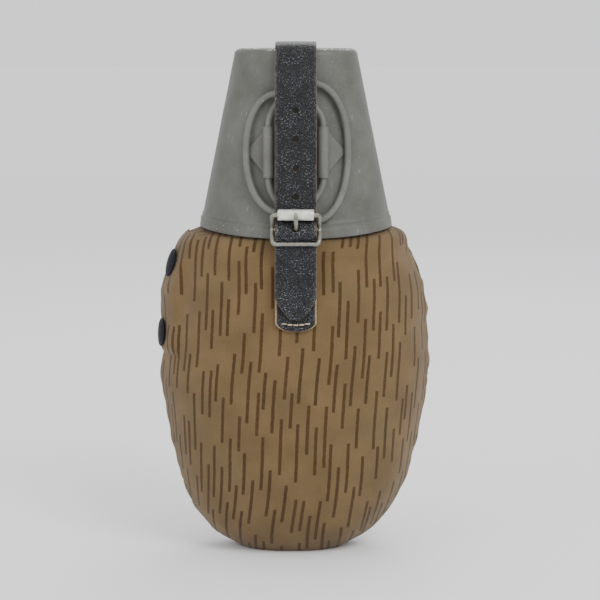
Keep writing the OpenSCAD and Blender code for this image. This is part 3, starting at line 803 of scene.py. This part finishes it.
# [out from the opening's edge, up] around the folded tape
TAPE_PROFILE = [
    [2.0, -0.05], [2.2, 0.55], [1.6, 1.05], [-0.4, 1.15], [-1.8, 0.9],
    [-2.0, 0.0], [-1.95, -1.2], [-1.3, -1.3], [-1.0, -0.9], [-0.9, 0.1],
]
tape_rows = [[last_row[0] + up, *(last_row[1:] + out)] for out, up in refine(TAPE_PROFILE, 3)]
tape_points = np.array([body_grid(np.array([row]), round_turn)[0] for row in tape_rows])
tape_shape = tape_points.shape[:2]
tape_points[..., 2] += 0.12 * noise(np.broadcast_to(round_turn / 5.0, tape_shape), np.zeros(tape_shape), 61)
tape = make("neck_binding", tape_points, endless(tape_points), TAPE)
finish_piece(tape, ROOT, "tape", "cover_binding")

# ---- flask ----

FLASK_D, FLASK_T, SHOULDER_Z, NECK_R, MOUTH_Z = felt_d + FELT_T + GAP, 1.1, 149.0, 14.2, 171.0
FLASK_TOP = np.array([
    [140.6, 36, 27, 18.8], [142, 28, 23, 16.9], [145.8, 21, 20.4, 15.2], [SHOULDER_Z, 16.2, 18.4, 12.6],
])


def flask_rows(d):
    """The cover's rows moved inwards by d, then up over the shoulder to the neck."""
    rows = inset(refine(COVER_ROWS, 4), d)
    rows = rows[rows[:, 0] < 138]
    top = FLASK_TOP - (d - FLASK_D)
    return np.vstack([rows, refine(np.vstack([rows[-1:], top]), 4)[1:]])


def flask_grid(rows, turn):
    """Points of the rows; the shoulder levels out towards the neck."""
    return oval(rows, turn, BODY_E, SEAM_Y, body_dip(rows[:, 0]) * (1 - ease((rows[:, 0] - 141) / 4)))


shell = flask_grid(np.vstack([flask_rows(FLASK_D), flask_rows(FLASK_D + FLASK_T)[::-1]]), round_turn)
bore = NECK_R - 1.3
# [radius, height] from the bore's lower end, out and up over three thread rings, and in at the mouth
neck = [
    [bore, SHOULDER_Z - 3.4], [17.8, SHOULDER_Z - 3.4], [17.8, SHOULDER_Z - 2], [16.8, SHOULDER_Z - 0.6],
    [15.2, SHOULDER_Z + 0.6], [NECK_R, SHOULDER_Z + 2.2],
]
THREAD_RING = [[0.0, -1.0], [0.75, -0.3], [0.85, 0.0], [0.75, 0.3], [0.0, 1.0]]
for k in (2, 1, 0):
    crest = MOUTH_Z - 3.4 - 3.2 * k
    neck += [[NECK_R + out, crest + up] for out, up in THREAD_RING]
neck += [
    [NECK_R, MOUTH_Z - 0.7], [NECK_R - 0.2, MOUTH_Z - 0.15], [NECK_R - 0.65, MOUTH_Z],
    [bore + 0.2, MOUTH_Z], [bore, MOUTH_Z - 0.3], [bore, SHOULDER_Z - 3.4],
]
neck_points = lathe(neck, 96)
neck_faces = grid_faces(*neck_points.shape[:2], wrap=True)
flask = make("flask_body", *joined((shell, rings(shell)), (neck_points, neck_faces)), FLASK)
soften(flask, 50)
finish_piece(flask, ROOT, "flask_metal", "flask")

# ---- cup ----

CUP_TOP, CUP_RIM, CORNER, BAND, CUP_T = 224.0, 145.5, 3.0, 4.8, 1.0
# [half width, front depth, back depth] below the corner, above the rim band and at the rim
WALL_TOP, WALL_LOW, RIM = np.array([[27.3, 20.2, 19.2], [40.9, 28.4, 25.0], [42.7, 30.4, 26.8]])
# [up, out] down the ridge above the rim band, and around the rim itself
RIDGE = [
    (3.0, 0.0), (2.3, 0.05), (1.9, 0.28), (1.5, 0.62), (1.0, 0.72),
    (0.6, 0.62), (0.25, 0.66), (-0.1, 1.05), (-0.45, 1.34), (-1.0, 1.42),
]
LIP = [
    (3.0, -0.32), (1.8, -0.15), (1.0, 0.0), (0.45, 0.02), (0.1, -0.15),
    (0.0, -0.5), (0.12, -0.85), (0.5, -1.0), (1.6, -1.1),
]
LOW_Z = CUP_RIM + BAND + 3.2


def cup_wall(z):
    k = (CUP_TOP - CORNER - np.asarray(z, float)) / (CUP_TOP - CORNER - LOW_Z)
    return WALL_TOP + k[..., None] * (WALL_LOW - WALL_TOP)


def cup_grid(rows, turn):
    return oval(rows, turn, CUP_E, 0.0, 3.3 * ease((175 - rows[:, 0]) / 27))


def cup_profile():
    """Rows from the middle of the flat end down to the rim, and back up inside."""
    out = [[CUP_TOP - 0.5, *(WALL_TOP * k)] for k in (0.04, 0.3, 0.6)]
    out += [[CUP_TOP - 0.45, *(WALL_TOP - CORNER - 2.6)], [CUP_TOP - 0.25, *(WALL_TOP - CORNER - 1.6)]]
    for a in np.radians(np.arange(0, 91, 11.25)):
        out.append([CUP_TOP - CORNER * (1 - math.cos(a)), *(WALL_TOP - CORNER * (1 - math.sin(a)))])
    out += [[z, *cup_wall(z)] for z in np.arange(218.0, LOW_Z + 1.0, -2.5)]
    out += [[CUP_RIM + BAND + up, *(WALL_LOW + side)] for up, side in RIDGE]
    out += [[CUP_RIM + up, *(RIM + side)] for up, side in LIP]
    inside = [[z, *(cup_wall(z) - CUP_T)] for z in np.arange(LOW_Z - 0.5, 219.0, 4.0)]
    ceiling = CUP_TOP - CUP_T - 0.5
    inside += [[ceiling - 0.5, *(WALL_TOP - CUP_T - 1.6)], [ceiling, *(WALL_TOP - CUP_T - 3.4)]]
    inside += [[ceiling, *(WALL_TOP * k)] for k in (0.6, 0.3, 0.04)]
    return np.array(out + inside)


cup_turn = np.linspace(0, 360, 160, endpoint=False)
cup_rows = cup_profile()
cup_points = cup_grid(cup_rows, cup_turn)
cup_x, cup_z = cup_points[..., 0], cup_points[..., 2]
lump = 0.10 * noise(cup_x / 13.0, cup_z / 15.0, 71) + 0.05 * noise(cup_x / 4.0, cup_z / 5.0, 72)
cup_points[..., 0] *= 1 + lump / 60
cup_points[..., 1] *= 1 + lump / 34
cup = make("cup_shell", cup_points, rings(cup_points, True), CUP_PAINT)
soften(cup, 60)
finish_piece(cup, "cup", "cup_paint", "cup")

# ---- bracket plate ----

TILT, HINGE_X, HINGE_Z, HINGE_OUT, TUBE_L, WIRE_R = 6.8, 11.8, 179.7, 3.75, 22.0, 1.45


def front_wall(x, z):
    w = cup_wall(z)
    return w[..., 1] * (1 - np.minimum(1, np.abs(x) / w[..., 0]) ** CUP_E) ** (1 / CUP_E)


HINGE_DEPTH = float(front_wall(HINGE_X, HINGE_Z)) + HINGE_OUT


def in_bracket(p):
    """Points of the bracket's own frame, whose +Z runs up the front wall."""
    turn = Matrix.Rotation(math.radians(-TILT), 3, "X")
    return np.asarray(p, float) @ np.array(turn).T + [0, -HINGE_DEPTH, HINGE_Z]


HALF_W, HALF_H, FLAT_X = 21.0, 11.0, 12.5
px = np.linspace(-HALF_W, HALF_W, 85)
pk = np.concatenate([[-1.0, -0.985, -0.95], np.linspace(-0.85, 0.85, 15), [0.95, 0.985, 1.0]])
ph = np.where(np.abs(px) < FLAT_X, HALF_H, 1 + (HALF_H - 1) * (HALF_W - np.abs(px)) / (HALF_W - FLAT_X))
gx, gk = np.meshgrid(px, pk, indexing="ij")
gz = HINGE_Z + gk * ph[:, None]
slope = np.hypot(1, np.gradient(front_wall(gx, gz), axis=0) / np.gradient(gx, axis=0))
near_edge = np.minimum(1, np.minimum((1 - np.abs(gk)) * ph[:, None], (HALF_W - np.abs(gx))) / 0.55)
crown = 0.15 + 0.45 + 0.55 * np.sqrt(1 - (1 - near_edge) ** 2)
plate_out = stack(gx, -front_wall(gx, gz) - crown * slope, gz)
plate_in = stack(gx, -front_wall(gx, gz) - 0.15, gz)
plate = sheet("bracket_sheet", plate_out, plate_in, PLATE_PAINT_LIGHTENED, stack(gx, gz))
soften(plate, 50)
finish_piece(plate, "cup", "cup_paint", "bracket_plate")

# ---- wire handles ----


def loop_path(side, h, reach):
    """The middle of a wire loop: side -1 is the left one, which crosses over the other."""
    b = np.array([[0, TUBE_L / 2 + 0.8], [0, TUBE_L / 2 + 7], [8, h], [18, h]])
    t = np.linspace(0, 1, 28)[:, None]
    start = (1 - t) ** 3 * b[0] + 3 * (1 - t) ** 2 * t * b[1] + 3 * (1 - t) * t**2 * b[2] + t**3 * b[3]
    a = np.radians(np.linspace(2, 90, 40))
    end = stack(18 + (reach - 18) * power(np.sin(a), 0.9), h * power(np.cos(a), 0.9))
    half = np.vstack([[[0, TUBE_L / 2 - 3]], start, end])
    q = np.vstack([half, (half * [1, -1])[-2::-1]])
    q = even(q, 0.9)
    s = q[:, 0]
    x, z = side * (s - HINGE_X), HINGE_Z + q[:, 1]
    if side < 0:
        stand = 2.8 + 3.1 * ease((s - 1) / 5) * (1 - ease((s - 15) / 14))
    else:
        stand = 2.75
    k = ease(s / 7)
    line = HINGE_DEPTH - math.tan(math.radians(TILT)) * (z - HINGE_Z)
    return stack(x, -(line * (1 - k) + (front_wall(x, z) + stand) * k), z)


for name, body, side, h, reach in (
    ("handle_left", "left_handle", -1, 25.6, 33.3),
    ("handle_right", "right_handle", 1, 29.7, 34.3),
):
    pin_z = np.linspace(-TUBE_L / 2 - 0.6, TUBE_L / 2 + 0.6, 12)
    pin = in_bracket(stack(np.full(12, -side * HINGE_X), np.zeros(12), pin_z))
    wire = tubes(name + "_wire", [(loop_path(side, h, reach), WIRE_R), (pin, WIRE_R - 0.02)], WIRE_PAINT_LIGHTENED)
    soften(wire, 60)
    finish_piece(wire, body, "wire_paint", name)

# ---- leather ----

STRAP_W, STRAP_T, TAB_T = 18.0, 1.7, 1.5


def section(half_w, t, crown, back_u):
    """Points around a leather section, [across, out, pattern across], from the face's middle."""
    r = min(0.5, t / 2 - 0.05)
    out = []
    for k in np.linspace(0, 1, 7)[:-1]:
        x = k * (half_w - r)
        out.append([x, t / 2 + crown * (1 - (x / half_w) ** 2), x * 9 / half_w])
    for a in np.radians([90, 60, 30, 0]):
        edge = 9 + 0.18 * (90 - math.degrees(a)) / 30
        out.append([half_w - r + r * math.cos(a), t / 2 - r + r * math.sin(a), edge])
    out.append([half_w, -t / 2 + r, 9.7])
    for a in np.radians([-30, -60, -90]):
        out.append([half_w - r + r * math.cos(a), -t / 2 + r + r * math.sin(a), 9.75])
    for k in np.linspace(1, 0, 7)[1:]:
        out.append([k * (half_w - r), -t / 2, back_u + k * 9])
    left = [[-x, y, -u] for x, y, u in out[-2:0:-1]]
    return np.array(out + left)


def ribbon(name, line, width, t, material, half_width=None, crown=0.12, v0=0.0, wobble=0.12, back_u=BACK_U):
    """A strip of leather along a line of [y, z] points. half_width(s, total) narrows its ends."""
    p = even(line, 0.9)
    tangent = np.gradient(p, axis=0)
    tangent /= np.linalg.norm(tangent, axis=1)[:, None]
    s = lengths(p)
    points, uv = [], []
    for i in range(len(p)):
        half = width / 2 + wobble * float(noise(np.array(s[i] / 9.0), np.array(0.5), 81))
        if half_width:
            half = min(half, max(0.35, half_width(s[i], s[-1])))
        q = section(half, t, crown, back_u)
        out = np.array([tangent[i][1], -tangent[i][0]])
        points.append(stack(q[:, 0], p[i][0] + q[:, 1] * out[0], p[i][1] + q[:, 1] * out[1]))
        scale = half / (width / 2)
        face = np.abs(q[:, 2]) <= 9
        u = np.where(face, q[:, 2] * scale, q[:, 2])
        uv.append(stack(u, np.full(len(q), v0 + s[i])))
    points = np.array(points)
    obj = make(name, points, rings(points, True), material, np.array(uv))
    soften(obj, 60)
    return obj


# The strap's line from its anchor over the cup to its tip
REAR = [
    [33.3, 112], [32.9, 118.5], [30.8, 131], [29.0, 139.1], [28.6, 146],
    [27.4, 152], [26.5, 158], [23.9, 188], [21.1, 217.2],
]
OVER = [[20.7, 220.6], [18.6, 224.6], [12, 225.8], [0, 226.1], [-12, 225.9], [-18.6, 225.1], [-22.4, 221.6]]
FRONT = [
    [-24.9, 217.2], [-29.9, 209], [-33.5, 181], [-36.4, 158.5], [-37.0, 153.9], [-38.7, 150.4],
    [-40.7, 146.9], [-39.4, 143.4], [-38.95, 140.2], [-40.9, 131], [-42.0, 125], [-42.9, 118.5],
    [-44.1, 108.7],
]
STRAP_STEP = 0.5
whole = even(refine(REAR + OVER + FRONT, 10), STRAP_STEP)
REAR_CUT_Z, TOP_CUT_Y = 180.0, 0.0
cut_a = int(np.argmin(np.abs(whole[:, 1] - REAR_CUT_Z) + np.where(whole[:, 0] > 0, 0, 999)))
cut_b = int(np.argmin(np.abs(whole[:, 0] - TOP_CUT_Y) + np.where(whole[:, 1] > 220, 0, 999)))


def pointed(s, total):
    """Half width of the strap near its tip."""
    d = total - s
    return 1.6 + 7.6 * min(1.0, max(0.0, d) / 9.5) ** 0.72


def strap_piece(name, first, last, half_width=None):
    """The strap from one point of its line to another."""
    line, start = whole[first:last], STRAP_STEP * first
    return ribbon(name, line, STRAP_W, STRAP_T, LEATHER, half_width, v0=start, wobble=0.0)


strap_a = strap_piece("strap_lower_rear", 0, cut_a + 1)
strap_b = strap_piece("strap_upper_rear", cut_a, cut_b + 1)
strap_c = strap_piece("strap_front_leather", cut_b, len(whole), pointed)
HOLE_ZS, PRONG_Z = [198 - 12.3 * k for k in range(4)], 148.1
ANCHOR_ZS, BELT_RIVET_XS, BELT_RIVET_Z = (122.4, 130.6), (-7, 7), 51
prong_hole = peg(0, -40, PRONG_Z, 1.8, 12)
cut(strap_c, [peg(0, -34, z, 1.5, 26) for z in HOLE_ZS] + [prong_hole])
cut(strap_a, [peg(0, 33, z, 1.6, 12) for z in ANCHOR_ZS])
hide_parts("strap_anchor", "strap_rear")
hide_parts("strap_rear", "strap_over")
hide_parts("strap_over", "strap_front")
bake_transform(strap_a)
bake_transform(strap_b)
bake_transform(strap_c)

# ---- tab ----

MID, TOP_BAR, LOW_BAR = np.array([[-36.6, 147.2], [-40.75, 153.75], [-40.9, 141.2]])
WRAP = 1.12 + TAB_T / 2
tab_back = [[-42.6, 103.3], [-41.1, 112], [-40.2, 118.5], [-36.9, 131], [-35.1, 137.5], [-34.6, 143]]
arc = np.radians(np.linspace(0, 180, 17))
tab_fold = MID + WRAP * stack(np.cos(arc), np.sin(arc))
tab_turned = [[MID[0] - WRAP, 146.4], [-37.0, 142], [-37.1, 138], [-38.8, 131], [-39.6, 128.2]]
tab_line = np.vstack([refine(tab_back, 6), tab_fold, refine(tab_turned, 5)])


def rounded(s, total):
    return 9.2 * (1 - (1 - min(1.0, s / 6.5)) ** 2.4) ** 0.5 + 0.4


tab = ribbon("buckle_tab_leather", tab_line, STRAP_W, TAB_T, LEATHER, rounded, 0.0, 300.0, back_u=0.0)
cut(tab, [brick((-1.8, MID[0] - 6, MID[1] - 4.6), (1.8, MID[0] + 3, MID[1] + 4.2))])
finish_piece(tab, ROOT, "strap_leather", "buckle_tab")

stitches = []
for x in np.arange(-5, 5.1, 2.5):
    y, z = -43.7, 106.6 + 0.02 * x * x
    bow = [[x + dx, y + dy, z] for dx, dy in ((-0.85, 0.55), (-0.6, 0.12), (0, 0), (0.6, 0.12), (0.85, 0.55))]
    stitches.append((refine(bow, 4), 0.34))
thread = tubes("tab_thread", stitches, THREAD)
finish_piece(thread, ROOT, "thread", "tab_stitches")

# ---- buckle ----

SIDE_X = 10.05


def yz(x, p):
    return [x, float(p[0]), float(p[1])]


def side_line(x):
    """From the top bar down one side to the low bar, with turned-in corners."""
    s = 1 if x > 0 else -1
    return [
        yz(x - s * 1.1, TOP_BAR + [-0.1, 0.1]),
        yz(x, TOP_BAR + [0.25, -0.7]),
        yz(x + s * 0.05, (TOP_BAR + MID) / 2),
        yz(x, MID),
        yz(x, (MID + LOW_BAR) / 2 + [-0.1, -0.1]),
        yz(x - s * 0.15, LOW_BAR + [0.55, 1.1]),
        yz(x - s * 1.2, LOW_BAR),
    ]


left, right = side_line(-SIDE_X), side_line(SIDE_X)
loop = refine(left + [yz(-6.0, LOW_BAR), yz(0, LOW_BAR), yz(6.0, LOW_BAR)] + right[::-1], 9)
sizes = np.where(np.abs(loop[:, 0]) > 9.2, 1.06, 0.98)
top_bar = [yz(x, TOP_BAR) for x in np.linspace(-9.6, 9.6, 12)]
middle_bar = [yz(x, MID) for x in np.linspace(-10.1, 10.1, 12)]
buckle = tubes("buckle_wire", [(loop, sizes), (top_bar, 1.2), (middle_bar, 1.0)], BUCKLE)
soften(buckle, 60)
finish_piece(buckle, "buckle", "buckle_steel", "buckle_frame")

ROLLER_R, ROLLER_L, ROLLER_BORE, ROLLER_SIDES = 2.4, 15.6, 1.28, 48
# [radius, in from the end] from the bore out to the roller's face
ROLLER_END = [
    [ROLLER_BORE, 0.1], [ROLLER_BORE + 0.3, 0],
    [ROLLER_R - 0.35, 0], [ROLLER_R - 0.08, 0.12], [ROLLER_R, 0.4],
]
roller_profile = [[r, d - ROLLER_L / 2] for r, d in ROLLER_END]
roller_profile += [[ROLLER_R, z] for z in np.linspace(-6.6, 6.6, 12)]
roller_profile += [[r, ROLLER_L / 2 - d] for r, d in ROLLER_END[::-1]]
roll = lathe(roller_profile, ROLLER_SIDES)[..., [2, 0, 1]]
roll_turn = np.arctan2(roll[..., 2], roll[..., 1])
outside = np.hypot(roll[..., 1], roll[..., 2]) > 2
worn = np.maximum(0, noise(roll[..., 0] / 2.6, roll_turn * 2, 91)) * outside
roll[..., 1:] *= (1 - 0.02 * worn)[..., None]
roll += [0, TOP_BAR[0], TOP_BAR[1]]
roller = make("buckle_roller_tube", roll, endless(roll), ROLLER)
soften(roller, 40)
finish_piece(roller, "roller", "roller_steel", "buckle_roller")

prong_line = refine([[-38.0, 147.3], [-41.4, 148.0], [-42.8, 149.2], [-44.35, 151.4], [-44.4, 155]], 6)
prong_path = np.column_stack([0.12 * np.sin(np.linspace(0, 3, len(prong_line))), prong_line])
prong_at, prong_radius = [0, 0.5, 0.85, 0.97, 1], [1.05, 1.05, 0.9, 0.7, 0.35]
prong_size = np.interp(np.linspace(0, 1, len(prong_line)), prong_at, prong_radius)
EYE_SIDES = 40
eye_turn = circle(EYE_SIDES)
eye = []
for a in circle(16):
    r = 1.56 + 0.44 * math.cos(a)
    x = np.full(EYE_SIDES, 1.45 * power(math.sin(a), 0.6))
    eye.append(stack(x, MID[0] + r * np.cos(eye_turn), MID[1] + r * np.sin(eye_turn)))
eye = np.array(eye)
ring = tube_rings(prong_path, prong_size)
prong = make("buckle_prong_wire", *joined((eye, endless(eye)), (ring, rings(ring))), BUCKLE)
soften(prong, 60)
finish_piece(prong, "prong", "buckle_steel", "buckle_prong")

# ---- belt loop ----

belt_line = [
    [32.4, 46], [33.1, 54], [36, 61], [41, 70], [42, 80],
    [42, 102], [40.2, 111], [36.2, 118.5], [34.1, 125.5], [32.5, 133.5],
]


def both_ends(s, total):
    return 13.4 * (1 - (1 - min(1.0, min(s, total - s) / 7.0)) ** 2.6) ** 0.5 + 0.5


LOOP_W, LOOP_T = 26.0, 2.0
belt_line = refine(belt_line, 10)
belt = ribbon("belt_loop_leather", belt_line, LOOP_W, LOOP_T, LOOP_LEATHER, both_ends, 0.1, 500.0, 0.2)
belt_holes = [peg(x, 33, BELT_RIVET_Z, 1.6, 10) for x in BELT_RIVET_XS]
cut(belt, [peg(0, 34, z, 1.6, 14) for z in ANCHOR_ZS] + belt_holes)
finish_piece(belt, ROOT, "loop_leather", "belt_loop")

# ---- snap caps ----


def at_snap(z, local):
    """Local points, +Z out of the cloth, moved to a snap."""
    heights = np.array([z - 2, z, z + 2])
    widths = [np.interp(heights, body_rows[:, 0], body_rows[:, k]) for k in (1, 2, 3)]
    rows = stack(heights, *widths)
    g = body_grid(rows, np.array([SNAP_T - 2, SNAP_T, SNAP_T + 2]))
    out = np.cross(g[1, 2] - g[1, 0], g[2, 1] - g[0, 1])
    out /= np.linalg.norm(out)
    up = np.array([0, 0, 1.0]) - out * out[2]
    up /= np.linalg.norm(up)
    return local @ np.array([np.cross(up, out), up, out]) + g[1, 1]


# [radius, height over the cloth] of a snap's dome and of the stem under it
DOME_PROFILE = [
    [0.05, 2.35], [5.3, 2.35], [6.0, 2.45], [6.3, 2.75], [6.2, 3.05], [5.8, 3.2],
    [5.4, 3.1], [5.1, 3.15], [4.2, 3.5], [2.4, 3.75], [0.05, 3.85],
]
STEM_PROFILE = [[0.05, 1.2], [1.45, 1.2], [1.45, 2.6], [0.05, 2.6]]
domes = []
for z in SNAP_ZS:
    for profile in (DOME_PROFILE, STEM_PROFILE):
        turned = lathe(profile, 48)
        domes.append((at_snap(z, turned), rings(turned)))
caps = make("snap_cap_domes", *joined(*domes), SNAP)
soften(caps, 40)
finish_piece(caps, "flap", "snap_paint", "snap_caps")

# ---- stage, lights and camera ----

WORLD, WORLD_COLOUR = 1.25, (0.93, 0.935, 0.945)


def floor_material():
    """Pale and even near the canteen, and as bright as the world far out."""
    s = Surface("floor", Roughness=0.9, Specular_IOR_Level=0.1)
    where = s.solid()
    far = s.span(s.add("VectorMath", {0: where}, out="Value", operation="LENGTH"), 350.0, 2400.0)
    tone = s.mix(s.noise(where, 160.0, 2.0), srgb(240, 240, 241), srgb(243, 243, 244))
    tone = s.mix(far, tone, (0.0, 0.0, 0.0))
    s.bsdf.inputs["Emission Color"].default_value = (*WORLD_COLOUR, 1)
    return s.drive(Base_Color=tone, Emission_Strength=s.times(far, WORLD))


bpy.ops.mesh.primitive_circle_add(vertices=96, radius=9.0, fill_type="NGON")
floor = bpy.context.object
floor.name = "floor"
floor.data.materials.append(floor_material())
floor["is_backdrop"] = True

scene = bpy.context.scene
world = bpy.data.worlds.new("studio")
world.use_nodes = True
sky = world.node_tree.nodes["Background"].inputs
sky["Color"].default_value = (*WORLD_COLOUR, 1)
sky["Strength"].default_value = WORLD
scene.world = world


def stand(name, data, place, aim):
    """Puts a light or a camera in its place, turned towards the aim."""
    obj = bpy.data.objects.new(name, data)
    obj.location = place
    obj.rotation_euler = (Vector(aim) - Vector(place)).to_track_quat("-Z", "Y").to_euler()
    scene.collection.objects.link(obj)
    return obj


def lamp(name, place, aim, size, watts):
    data = bpy.data.lights.new(name, "AREA")
    data.shape, data.size, data.energy = "DISK", size, watts
    stand(name, data, place, aim)


lamp("key", (0.6, -1.0, 1.1), (0, 0, 0.12), 0.7, 12)
lamp("fill", (-0.95, -0.9, 0.75), (0, 0, 0.1), 0.9, 3)
lamp("back", (0.2, 0.9, 1.0), (0, 0, 0.12), 0.9, 5)

# The camera stands a little above the cup's end and looks slightly down
CAMERA_AT, AIM_AT, FRAME_W = Vector((0.0018, -1.0, 0.240)), Vector((0.0018, 0.0, 0.1119)), 0.2688
optics = bpy.data.cameras.new("camera")
optics.sensor_width = 36.0
optics.lens = optics.sensor_width * (AIM_AT - CAMERA_AT).length / FRAME_W
scene.camera = stand("camera", optics, CAMERA_AT, AIM_AT)

[np.array(b).tolist() for b in (cad_box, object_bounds())]
